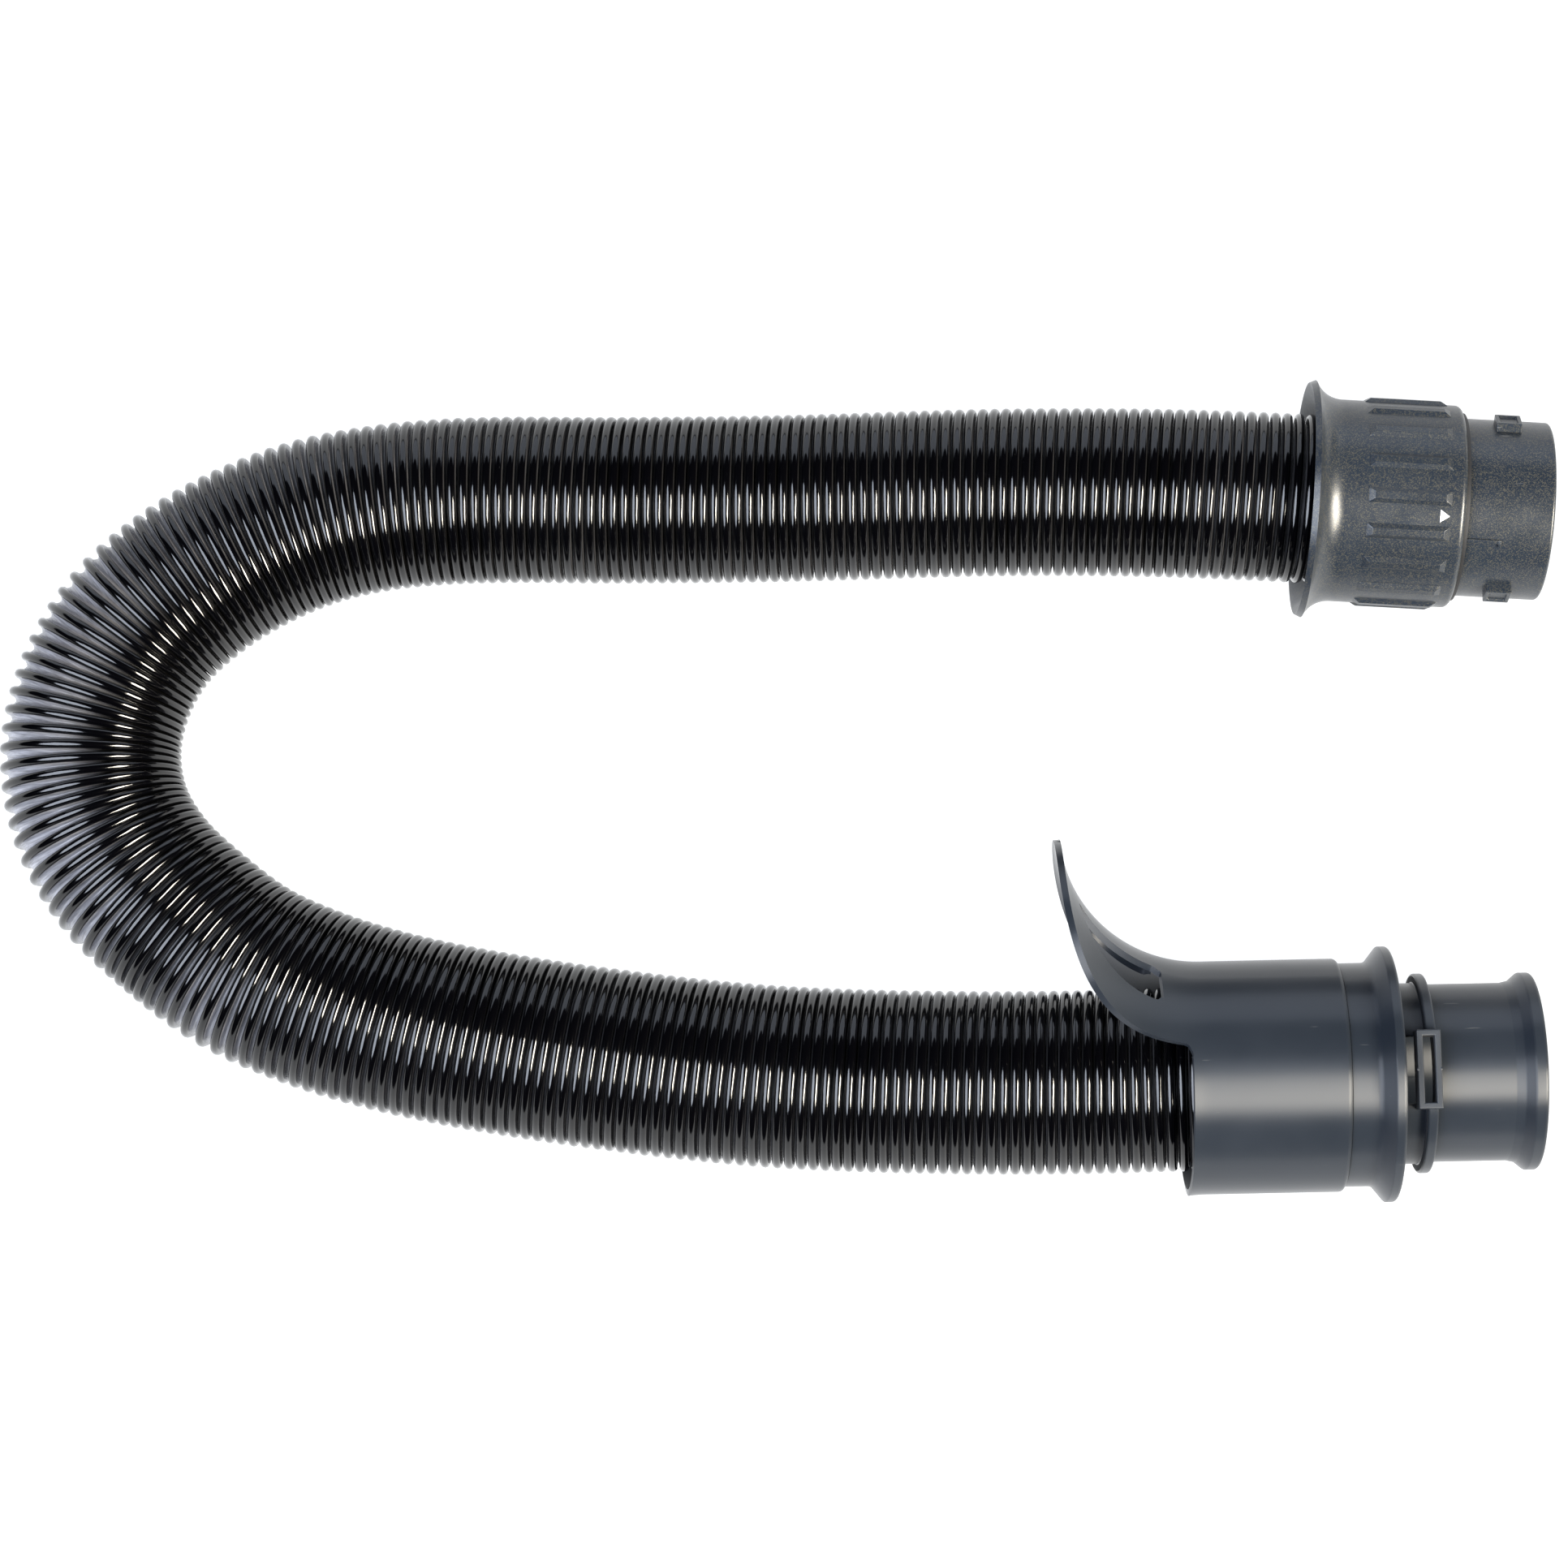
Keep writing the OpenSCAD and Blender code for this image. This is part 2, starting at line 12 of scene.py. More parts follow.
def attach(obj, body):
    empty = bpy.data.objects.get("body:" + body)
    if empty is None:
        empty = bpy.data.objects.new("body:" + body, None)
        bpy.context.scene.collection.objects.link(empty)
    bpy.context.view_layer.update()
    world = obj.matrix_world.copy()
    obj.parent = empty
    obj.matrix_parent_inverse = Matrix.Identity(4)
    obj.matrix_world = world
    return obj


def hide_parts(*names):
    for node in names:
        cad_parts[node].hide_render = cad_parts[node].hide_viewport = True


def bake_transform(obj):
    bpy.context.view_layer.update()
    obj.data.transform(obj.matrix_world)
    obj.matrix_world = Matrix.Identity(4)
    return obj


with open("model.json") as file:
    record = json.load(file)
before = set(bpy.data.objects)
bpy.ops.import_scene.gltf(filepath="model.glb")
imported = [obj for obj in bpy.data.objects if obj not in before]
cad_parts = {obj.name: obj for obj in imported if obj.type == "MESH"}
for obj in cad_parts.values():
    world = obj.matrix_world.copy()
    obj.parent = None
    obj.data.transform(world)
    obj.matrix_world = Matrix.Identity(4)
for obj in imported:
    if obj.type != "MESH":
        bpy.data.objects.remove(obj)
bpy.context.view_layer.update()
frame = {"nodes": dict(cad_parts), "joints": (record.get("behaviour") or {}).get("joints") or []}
MM = 0.001
JOINTS = {j["name"]: j for j in frame["joints"]}

# Centreline of the hose in metres, from its end in the wand cuff to its end in the machine cuff
ROUTE = [(x * MM, y * MM, z * MM) for x, y, z in (
    (162, 71.2, 29.8), (149, 72, 29.8), (136, 72.8, 29.8), (116, 74, 29), (96, 75, 27.6),
    (76, 75.6, 26.2), (56, 75.8, 25), (36, 75.6, 24), (16, 75.2, 23.2), (-4, 75, 22.5),
    (-24, 75, 22), (-44, 75.1, 21.6), (-64, 75.4, 21.4), (-82, 75, 21.5), (-99, 73.4, 21.8),
    (-116, 69.8, 22.2), (-132, 63.4, 22.5), (-147, 54.4, 22.7), (-160, 42.6, 22.8),
    (-168.5, 27.8, 22.8), (-172, 11, 22.8), (-169, -6, 22.8), (-160, -20.8, 22.8),
    (-147, -33, 22.8), (-132, -44, 22.8), (-115, -51.6, 22.8), (-97, -57.2, 22.8),
    (-78, -61.4, 23), (-58, -64.8, 23.2), (-38, -67.6, 23.5), (-18, -70, 24),
    (2, -71.8, 24.7), (22, -72.8, 25.5), (42, -73.3, 26.4), (62, -73.5, 27.4),
    (82, -73.3, 28.6), (100, -72.8, 30.2), (115, -72.3, 31.4), (135, -71.9, 31.4),
)]
BEND_START, APEX = 14, 20  # places in the route between which the hose grows thicker
HOSE_R = (21.25 * MM, 22.75 * MM)  # over the ribs, on the wand run and on the machine run


# ---------------------------------------------------------------- camera

VIEW_TARGET = Vector((4, 2, 22)) * MM
VIEW_DISTANCE = 922 * MM
VIEW_LEAN = [math.radians(a) for a in (1.7, -6.8)]  # of the view from straight above, along X and Y
SENSOR = 36
LENS_PER_WIDTH = 4500 / 1932


def make_camera():
    """Camera nearly straight above the hose, framed as the photograph is."""
    back = Vector((math.sin(VIEW_LEAN[0]), math.sin(VIEW_LEAN[1]), 0))
    back.z = math.sqrt(1 - back.length_squared)
    right = (-back).cross(Vector((0, 1, 0))).normalized()
    up = right.cross(-back)
    data = bpy.data.cameras.new("camera")
    data.sensor_width = SENSOR
    data.lens = LENS_PER_WIDTH * data.sensor_width
    data.clip_start, data.clip_end = 0.05, 20
    camera = bpy.data.objects.new("camera", data)
    turn = Matrix((right, up, back)).transposed().to_4x4()
    camera.matrix_world = Matrix.Translation(VIEW_TARGET + VIEW_DISTANCE * back) @ turn
    bpy.context.collection.objects.link(camera)
    bpy.context.scene.camera = camera


# ---------------------------------------------------------------- mesh helpers

def new_object(name, verts, faces):
    """A smooth-shaded object in the scene."""
    mesh = bpy.data.meshes.new(name)
    mesh.from_pydata([tuple(v) for v in verts], [], [tuple(f) for f in faces])
    mesh.validate()
    mesh.polygons.foreach_set("use_smooth", [True] * len(mesh.polygons))
    obj = bpy.data.objects.new(name, mesh)
    bpy.context.collection.objects.link(obj)
    return obj


def cuff_frame(joint):
    """The cuff's own frame: Z along its axis from its rim, X down, Y level."""
    axis = Vector(JOINTS[joint]["axis"]).normalized()
    down = Vector((0, 0, -1))
    turn = Matrix((down, axis.cross(down), axis)).transposed().to_4x4()
    return Matrix.Translation(Vector(JOINTS[joint]["pos_m"])) @ turn


def around(angle):
    """Direction round a cuff, in degrees from +Y towards +Z, as an angle about its axis in radians."""
    return math.radians(90 + angle)


def fillet(corners, steps=4):
    """Closed profile with its corners rounded: each corner is (radius, place, fillet), in mm."""
    out = []
    count = len(corners)
    for i, (x, y, size) in enumerate(corners):
        here = Vector((x, y))
        if not size:
            out.append(here)
            continue
        before = Vector(corners[i - 1][:2]) - here
        after = Vector(corners[(i + 1) % count][:2]) - here
        half = before.angle(after) / 2
        reach = size / math.tan(half)
        reach = min(reach, 0.49 * before.length, 0.49 * after.length)
        size = reach * math.tan(half)
        centre = here + (before.normalized() + after.normalized()).normalized() * (size / math.sin(half))
        start = here + before.normalized() * reach - centre
        end = here + after.normalized() * reach - centre
        sweep = start.angle_signed(end)
        for k in range(steps + 1):
            turn = Matrix.Rotation(-sweep * k / steps, 2)
            out.append(centre + turn @ start)
    return [(p.x, p.y) for p in out]


def lathe(profile, steps=192):
    """Verts and faces of a closed turned piece, from a closed profile of (radius, place) in mm."""
    n = len(profile)
    verts = [
        (r * math.cos(a) * MM, r * math.sin(a) * MM, z * MM)
        for a in (2 * math.pi * k / steps for k in range(steps))
        for r, z in profile
    ]
    faces = [
        (k * n + i, k * n + (i + 1) % n, (k + 1) % steps * n + (i + 1) % n, (k + 1) % steps * n + i)
        for k in range(steps) for i in range(n)
    ]
    return verts, faces


def joined(*parts):
    """Verts and faces of several closed pieces as one."""
    verts, faces = [], []
    for part_verts, part_faces in parts:
        shift = len(verts)
        verts += list(part_verts)
        faces += [tuple(i + shift for i in f) for f in part_faces]
    return verts, faces


def moved(part, matrix):
    """The same verts and faces, placed by a matrix."""
    return [matrix @ Vector(v) for v in part[0]], part[1]


def loft(sections):
    """A closed solid through equal-length sections, with flat ends."""
    n = len(sections[0])
    verts = [p for s in sections for p in s]
    faces = [
        (j * n + i, j * n + (i + 1) % n, (j + 1) * n + (i + 1) % n, (j + 1) * n + i)
        for j in range(len(sections) - 1) for i in range(n)
    ]
    faces.append(tuple(reversed(range(n))))
    faces.append(tuple((len(sections) - 1) * n + i for i in range(n)))
    return verts, faces


def finished(name, part, matrix, bevel=0.0, angle=35):
    """An object from local verts and faces: outward normals, bevelled edges and even shading."""
    obj = new_object(name, *part)
    obj.data.transform(matrix)
    bm = bmesh.new()
    bm.from_mesh(obj.data)
    bmesh.ops.recalc_face_normals(bm, faces=bm.faces)
    bm.to_mesh(obj.data)
    bm.free()
    if bevel:
        modifier = obj.modifiers.new("bevel", "BEVEL")
        modifier.width = bevel * MM
        modifier.segments = 3
        modifier.limit_method = "ANGLE"
        modifier.angle_limit = math.radians(angle)
    obj.modifiers.new("weighted", "WEIGHTED_NORMAL").weight = 60
    return obj


# ---------------------------------------------------------------- materials

class Nodes:
    """Short calls for building a node tree."""

    def __init__(self, name):
        self.material = bpy.data.materials.new(name)
        self.material.use_nodes = True
        self.tree = self.material.node_tree
        self.shader = self.tree.nodes["Principled BSDF"]

    def add(self, kind, **values):
        node = self.tree.nodes.new(kind)
        for key, value in values.items():
            if key in node.inputs:
                node.inputs[key].default_value = value
            else:
                setattr(node, key, value)
        return node

    def link(self, a, b):
        self.tree.links.new(a, b)

    def coords(self, scale=(1, 1, 1), source="Object"):
        mapping = self.add("ShaderNodeMapping")
        mapping.inputs["Scale"].default_value = scale
        self.link(self.add("ShaderNodeTexCoord").outputs[source], mapping.inputs["Vector"])
        return mapping.outputs["Vector"]

    def noise(self, vector, scale, detail=3.0, rough=0.5):
        node = self.add("ShaderNodeTexNoise", Scale=scale, Detail=detail, Roughness=rough)
        self.link(vector, node.inputs["Vector"])
        return node.outputs["Fac"]

    def ramp(self, value, low, high, a=0.0, b=1.0):
        node = self.add("ShaderNodeMapRange")
        for key, number in (("From Min", low), ("From Max", high), ("To Min", a), ("To Max", b)):
            node.inputs[key].default_value = number
        self.link(value, node.inputs["Value"])
        return node.outputs["Result"]

    def math(self, kind, a, b):
        node = self.add("ShaderNodeMath", operation=kind)
        for i, value in enumerate((a, b)):
            if isinstance(value, (int, float)):
                node.inputs[i].default_value = value
            else:
                self.link(value, node.inputs[i])
        return node.outputs[0]

    def mix(self, factor, a, b):
        node = self.add("ShaderNodeMix", data_type="RGBA")
        self.link(factor, node.inputs["Factor"])
        for key, value in (("A", a), ("B", b)):
            socket = [s for s in node.inputs if s.name == key and s.type == "RGBA"][0]
            if isinstance(value, tuple):
                socket.default_value = (*value, 1)
            else:
                self.link(value, socket)
        return [s for s in node.outputs if s.type == "RGBA"][0]

    def bump(self, *layers):
        """Bump from (height, strength, distance in mm) layers, the finest last."""
        normal = None
        for height, strength, distance in layers:
            node = self.add("ShaderNodeBump", Strength=strength, Distance=distance * MM)
            self.link(height, node.inputs["Height"])
            if normal is not None:
                self.link(normal, node.inputs["Normal"])
            normal = node.outputs["Normal"]
        self.link(normal, self.shader.inputs["Normal"])

    def set(self, **values):
        for key, value in values.items():
            socket = self.shader.inputs[key.replace("_", " ")]
            if hasattr(value, "is_linked"):
                self.link(value, socket)
            elif isinstance(value, tuple):
                socket.default_value = (*value, 1)
            else:
                socket.default_value = value
        return self.material


def hose_plastic():
    """Glossy black ribs, and a smoke-grey web between them that pales as its gap opens: near black in
    narrow gaps, which is painted shade deep between the ribs, and pale in wide gaps, partly the stretched
    web's own milky tone and partly painted light on the outside of the bend.
    """
    n = Nodes("hose_plastic")
    web = n.add("ShaderNodeAttribute", attribute_name="web").outputs["Fac"]
    stretch = n.add("ShaderNodeAttribute", attribute_name="stretch").outputs["Fac"]
    place = n.add("ShaderNodeUVMap", uv_map="rib").outputs["UV"]
    along = n.add("ShaderNodeMapping")
    along.inputs["Scale"].default_value = (1, 0.05, 1)
    n.link(place, along.inputs["Vector"])
    streaks = n.noise(along.outputs["Vector"], 2200, 4, 0.6)
    pale = n.mix(n.ramp(streaks, 0.3, 0.7), (0.12, 0.118, 0.127), (0.37, 0.366, 0.39))
    # painted shade and light: the web's grey runs from near black in narrow gaps, painted shade deep
    # between the ribs, to pale in wide gaps, partly the stretched web's milky tone and partly painted
    # light on the bend's outside
    web_grey_with_painted_light = n.mix(n.math("POWER", stretch, 0.8), (0.004, 0.0038, 0.0036), pale)
    colour = n.mix(web, (0.0006, 0.0006, 0.0009), web_grey_with_painted_light)
    dust = n.noise(n.coords(), 3500, 2, 0.5)
    specks = n.ramp(dust, 0.76, 0.8)
    n.bump((streaks, 0.25, 0.08), (n.noise(n.coords(), 900, 3), 0.05, 0.02))
    rough = n.math("ADD", n.math("MULTIPLY", web, 0.16), n.ramp(specks, 0, 1, 0.1, 0.4))
    return n.set(Base_Color=n.mix(specks, colour, (0.03, 0.029, 0.027)), Roughness=rough,
                 Specular_IOR_Level=0.5)


def fleck_mask(n, scale, share):
    """Small random cells, a share of them lit."""
    cells = n.add("ShaderNodeTexVoronoi", Scale=scale)
    n.link(n.coords(), cells.inputs["Vector"])
    tint = n.add("ShaderNodeSeparateColor")
    n.link(cells.outputs["Color"], tint.inputs["Color"])
    return n.ramp(tint.outputs[0], 1 - share, 1)


def scratch_mask(n, scale, stretch, low):
    """Sparse hairline scratches, long across the stretch's small axis."""
    return n.ramp(n.noise(n.coords(stretch), scale, 2, 0.4), low, low + 0.02)


def flecked_plastic():
    """Satin slate grey, blue in the cold light, with fine pale-gold flecks and a few scratches."""
    n = Nodes("wand_cuff_plastic")
    fleck = fleck_mask(n, 5200.0, 0.4)
    cloud = n.noise(n.coords(), 60, 3)
    base = n.mix(n.ramp(cloud, 0.3, 0.7), (0.0075, 0.0115, 0.0185), (0.0100, 0.0150, 0.0230))
    lit = n.mix(fleck, base, (0.075, 0.072, 0.06))
    scratch = scratch_mask(n, 700, (0.12, 1.3, 0.9), 0.765)
    n.bump((n.noise(n.coords(), 130, 2), 0.06, 0.1), (n.noise(n.coords(), 2600, 2), 0.22, 0.04))
    rough = n.ramp(n.noise(n.coords(), 200, 4), 0.3, 0.7, 0.29, 0.36)
    return n.set(Base_Color=n.mix(scratch, lit, (0.07, 0.072, 0.075)), Roughness=rough,
                 Metallic=n.math("MULTIPLY", fleck, 0.45), Specular_IOR_Level=0.5)


def scuffed_plastic():
    """Smooth satin slate grey with faint smudges and a few scratches."""
    n = Nodes("machine_cuff_plastic")
    smudge = n.noise(n.coords(), 38, 4, 0.55)
    base = n.mix(n.ramp(smudge, 0.35, 0.7), (0.0115, 0.0145, 0.0195), (0.0145, 0.0178, 0.0235))
    scratch = scratch_mask(n, 800, (0.1, 1.4, 0.9), 0.765)
    n.bump((n.noise(n.coords(), 90, 2), 0.05, 0.1), (n.noise(n.coords(), 900, 3), 0.035, 0.03))
    rough = n.math("ADD", n.ramp(smudge, 0.3, 0.7, 0.37, 0.44), n.math("MULTIPLY", scratch, 0.2))
    # the gloss is drawn out round the cuff, across its axis
    axis = n.add("ShaderNodeCombineXYZ", X=1.0, Y=0.02, Z=0.03)
    turned = n.add("ShaderNodeVectorTransform", vector_type="VECTOR",
                   convert_from="OBJECT", convert_to="WORLD")
    n.link(axis.outputs[0], turned.inputs[0])
    n.link(turned.outputs[0], n.shader.inputs["Tangent"])
    return n.set(Base_Color=n.mix(scratch, base, (0.045, 0.048, 0.052)), Roughness=rough,
                 Anisotropic=0.93, Specular_IOR_Level=0.42)


def plain_plastic(name, colour, rough, grain=900):
    """Moulded plastic or rubber with a fine grain."""
    n = Nodes(name)
    cloud = n.noise(n.coords(), grain / 8, 3)
    dark = tuple(c * 0.8 for c in colour)
    n.bump((n.noise(n.coords(), grain, 3), 0.2, 0.04))
    return n.set(Base_Color=n.mix(cloud, dark, colour),
                 Roughness=n.ramp(cloud, 0.3, 0.7, rough - 0.05, rough + 0.05))


def wear(obj, material):
    """Gives an object one material in place of any it has."""
    obj.data.materials.clear()
    obj.data.materials.append(material)


# ---------------------------------------------------------------- hose

CURVE_STEPS = 24  # curve points for each route point
GRID = 1400  # even places along the whole centreline
SMOOTHING = 25  # places that one tangent is averaged over


class Centreline:
    """A smooth curve through the route, measured along its length."""

    def __init__(self, points, steps=CURVE_STEPS):
        p = np.array(points)
        p = np.vstack([2 * p[0] - p[1], p, 2 * p[-1] - p[-2]])
        t = np.linspace(0, 1, steps, endpoint=False)[:, None]
        pieces = [
            0.5 * (2 * b + (c - a) * t + (2 * a - 5 * b + 4 * c - d) * t ** 2
                   + (3 * b - a - 3 * c + d) * t ** 3)
            for a, b, c, d in zip(p[:-3], p[1:-2], p[2:-1], p[3:])
        ]
        self.points = np.vstack(pieces + [p[-2:-1]])
        gaps = np.linalg.norm(np.diff(self.points, axis=0), axis=1)
        self.s = np.concatenate([[0], np.cumsum(gaps)])
        self.length = float(self.s[-1])
        self.at_point = self.s[::steps]
        grid = np.linspace(0, self.length, GRID)
        line = np.stack([np.interp(grid, self.s, self.points[:, i]) for i in range(3)], 1)
        kernel = np.hanning(SMOOTHING) / np.hanning(SMOOTHING).sum()
        tangent = np.gradient(line, grid, axis=0)
        padded = np.pad(tangent, ((SMOOTHING // 2, SMOOTHING // 2), (0, 0)), "edge")
        tangent = np.stack([np.convolve(padded[:, i], kernel, "valid") for i in range(3)], 1)
        tangent /= np.linalg.norm(tangent, axis=1, keepdims=True)
        self.grid, self.line, self.tangent = grid, line, tangent
        self.curve = np.gradient(tangent, grid, axis=0)

    def _read(self, table, s):
        return np.stack([np.interp(s, self.grid, table[:, i]) for i in range(3)], -1)

    def frame(self, s):
        """Point, level direction, upward direction and curvature vector at each s."""
        tangent = self._read(self.tangent, s)
        across = np.cross((0.0, 0.0, 1.0), tangent)
        across /= np.linalg.norm(across, axis=-1, keepdims=True)
        return self._read(self.line, s), across, np.cross(tangent, across), self._read(self.curve, s)


COLUMNS = 128  # points round the hose
BEAD = 1.23 * MM  # radius of the round rib
BEAD_TURN = np.radians([-104, -74, -46, -20, 8, 36, 66, 98])
BEAD_SHARE = 0.465  # of the pitch that half a rib takes at most
WEB = np.array([-0.3, 0.0, 0.3])  # places across the gap between two ribs
WEB_LENGTH = 3.1 * MM
SAG_LIMITS = (0.5 * MM, 1.15 * MM)
PITCH = (2.86 * MM, 0.55 * MM)  # at rest, and what the bend adds to it
BEND_WEIGHT = 0.055
WAVES = ((61, 0.3), (143, 1.9), (317, 4.1))
UNEVEN = 0.012
STRAIN_LIMITS = (0.45, 1.8)
TAUT_GAP = (0.35, 2.1)  # gap in mm at which the web starts to pale, and over how much it does: narrow gaps stay near black as painted shade, wide ones pale partly as painted light


def crest_radius(line, s):
    """Radius over the ribs, which grows along the first half of the bend."""
    share = np.interp(s, (line.at_point[BEND_START], line.at_point[APEX]), (0, 1))
    return HOSE_R[0] + (HOSE_R[1] - HOSE_R[0]) * share


def turns_table(line):
    """Turns of the rib wound by each place along the centreline."""
    bend = np.linalg.norm(line.curve, axis=1)
    pitch = PITCH[0] + PITCH[1] * np.clip(bend * BEND_WEIGHT, 0, 1)
    pitch = pitch * (1 + UNEVEN * sum(np.sin(line.grid * k + p) for k, p in WAVES))
    gaps = np.diff(line.grid) / ((pitch[1:] + pitch[:-1]) / 2)
    return np.concatenate([[0], np.cumsum(gaps)]), pitch


def hose_surface(line):
    """Grid of the hose's outside, one row for each step of the rib's profile, and its facts."""
    turns, pitch = turns_table(line)
    count = int(turns[-1]) - 1
    profile = len(BEAD_TURN) + len(WEB)
    column = np.arange(COLUMNS)
    angle = 2 * np.pi * column / COLUMNS
    rib = np.repeat(np.arange(1, count), profile)[:, None]
    step = np.tile(np.arange(profile), count - 1)[:, None]
    phase = rib - column[None, :] / COLUMNS
    s_rib = np.interp(phase + 0.5, turns, line.grid)
    local = np.interp(s_rib, line.grid, pitch)
    _, across, up, curve = line.frame(s_rib)
    out = np.cos(angle)[None, :, None] * across + np.sin(angle)[None, :, None] * up
    radius = crest_radius(line, s_rib)
    strain = np.clip(1 - radius * (curve * out).sum(-1), *STRAIN_LIMITS)
    pitch_here = local * strain
    half = np.minimum(BEAD, BEAD_SHARE * pitch_here)
    edge = half * math.sin(BEAD_TURN[-1])
    gap = pitch_here - 2 * edge
    slack = np.sqrt(np.maximum(WEB_LENGTH ** 2 - gap ** 2, SAG_LIMITS[0] ** 2))
    sag = np.minimum(slack / 2, SAG_LIMITS[1])
    on_bead = step < len(BEAD_TURN)
    bead_turn = BEAD_TURN[np.minimum(step, len(BEAD_TURN) - 1)]
    web_part = WEB[np.clip(step - len(BEAD_TURN), 0, len(WEB) - 1)]
    root = BEAD * (1 - math.cos(BEAD_TURN[-1]))
    offset = np.where(on_bead, half * np.sin(bead_turn), pitch_here / 2 + web_part * gap)
    depth = np.where(on_bead, BEAD * (1 - np.cos(bead_turn)),
                     root + sag * (1 - (2 * web_part) ** 2))
    s = np.clip(s_rib + offset / strain, 0, line.length)
    point, across, up, _ = line.frame(s)
    out = np.cos(angle)[None, :, None] * across + np.sin(angle)[None, :, None] * up
    verts = point + out * (crest_radius(line, s) - depth)[..., None]
    web = np.where(on_bead, np.abs(np.sin(bead_turn)) > 0.93, True) & np.ones_like(s, bool)
    # how open each gap is; it sets the web's painted shade and painted light in the material
    stretch = np.clip((gap / MM - TAUT_GAP[0]) / TAUT_GAP[1], 0, 1)
    uv = np.stack([offset + pitch_here, (phase * 2 * np.pi) * radius], -1)
    return verts, web.astype(float), stretch, uv, profile


def make_hose(material):
    """The whole wall as one skin, its rib wound as a screw from end to end."""
    line = Centreline(ROUTE)
    verts, web, stretch, uv, profile = hose_surface(line)
    rows, cols = verts.shape[:2]

    def index(i, k):
        # one turn on, the rib's row meets the row one pitch back
        return (i, k) if k < cols else (i - profile, 0)

    faces = []
    for i in range(rows - 1):
        for k in range(cols):
            a, b = (i, k), index(i, k + 1)
            c, d = index(i + 1, k + 1), (i + 1, k)
            if min(b[0], c[0]) < 0:
                continue
            faces.append([p[0] * cols + p[1] for p in (a, b, c, d)])
    obj = new_object("hose", verts.reshape(-1, 3), faces)
    for name, values in (("web", web), ("stretch", stretch)):
        obj.data.attributes.new(name, "FLOAT", "POINT").data.foreach_set(
            "value", values.reshape(-1).astype(np.float32))
    loops = np.empty(len(obj.data.loops), np.int32)
    obj.data.loops.foreach_get("vertex_index", loops)
    layer = obj.data.uv_layers.new(name="rib")
    layer.data.foreach_set("uv", uv.reshape(-1, 2)[loops].astype(np.float32).reshape(-1))
    wear(obj, material)
    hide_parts("hose_wall_wand_run", "hose_wall_bend", "hose_wall_machine_run",
                "wire_wand_run", "wire_bend", "wire_machine_run")
    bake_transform(obj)


# ---------------------------------------------------------------- wand cuff
# Sizes of both cuffs in mm: places are measured along the cuff from its rim.

ROUND = 256  # steps of a turned piece
FIT = 0.05  # gap between two pieces that fit
COLLAR_R, COLLAR_BORE, COLLAR_L = 25.3, 23.65, 36.4
FLARE_R, FLARE_L = 29.8, 7
WAND_SPIGOT_R, WAND_BORE, WAND_SPIGOT_END = 22.2, 20.0, 58.4
WAND_FLANGE = (31.15, 34.4)
GROOVE_R, GROOVE = 24.65, (23.95, 25.45)
BARS, BAR_START, BAR_L, BAR_W, BAR_H = 18, 12.3, 20.4, 3.8, 0.9
BAR_TURN, STOP_RIB_TURN = 97, 122.5
LUG_ANGLES, LUG_START, LUG_L, LUG_W, LUG_H = (34, 166, 280), 44.2, 6.3, 6.0, 2.0


def arc(centre, radius, start, end, steps):
    """Corners along an arc, in degrees, none of them rounded."""
    return [
        (centre[0] + radius * math.cos(a), centre[1] + radius * math.sin(a), 0)
        for a in (math.radians(start + (end - start) * k / steps) for k in range(steps + 1))
    ]


def raised_bar(base_r, start, length, width, height, bevel, ramp, sink=0.6, steps=6):
    """Bar along a cylinder with sloping sides and ends, its foot following the round wall."""
    def section(z, rise):
        share = rise / height
        half = width / 2 - bevel * share
        outer = [(base_r + rise, half * (1 - 2 * k / steps)) for k in range(steps + 1)]
        foot = width / 2
        side = math.sqrt(base_r ** 2 - foot ** 2)
        ring = [(side - sink, -foot), (side - sink, foot), (side, foot)] + outer + [(side, -foot)]
        return [(x * MM, y * MM, z * MM) for x, y in ring]

    low = 0.02
    return loft([
        section(start, low), section(start + ramp, height),
        section(start + length / 2, height),
        section(start + length - ramp, height), section(start + length, low),
    ])


def make_collar(material):
    """Grip collar: a flared mouth, a round barrel and raised bars."""
    place = cuff_frame("wand_swivel")
    drop = FLARE_R - COLLAR_R
    curve = (drop ** 2 + FLARE_L ** 2) / (2 * drop)
    centre = (COLLAR_R + curve, FLARE_L)
    lip = 180 + math.degrees(math.asin(FLARE_L / curve))
    outside = arc(centre, curve, lip, 180, 20)
    body = [(COLLAR_R, z, 0) for z in (14, 22, 30)]
    seat = WAND_FLANGE[1] + FIT
    end = [(COLLAR_R, COLLAR_L, 2.0), (WAND_SPIGOT_R + FIT, COLLAR_L, 0.3),
           (WAND_SPIGOT_R + FIT, seat, 0), (COLLAR_BORE, seat, 0),
           (COLLAR_BORE, GROOVE[1], 0), (GROOVE_R, GROOVE[1], 0),
           (GROOVE_R, GROOVE[0], 0), (COLLAR_BORE, GROOVE[0], 0)]
    inside = arc(centre, curve + COLLAR_R - COLLAR_BORE, 180, lip, 20)
    shell = lathe(fillet(outside + body + end + inside, 6), ROUND)
    bars = [
        moved(raised_bar(COLLAR_R, BAR_START, BAR_L, BAR_W, BAR_H, 1.0, 1.5),
              Matrix.Rotation(around(BAR_TURN) + 2 * math.pi * i / BARS, 4, "Z"))
        for i in range(BARS)
    ]
    obj = finished("grip_collar", joined(shell, *bars), place, bevel=0.22, angle=24)
    wear(obj, material)
    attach(obj, "wand_cuff")
    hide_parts("wand_grip_collar")


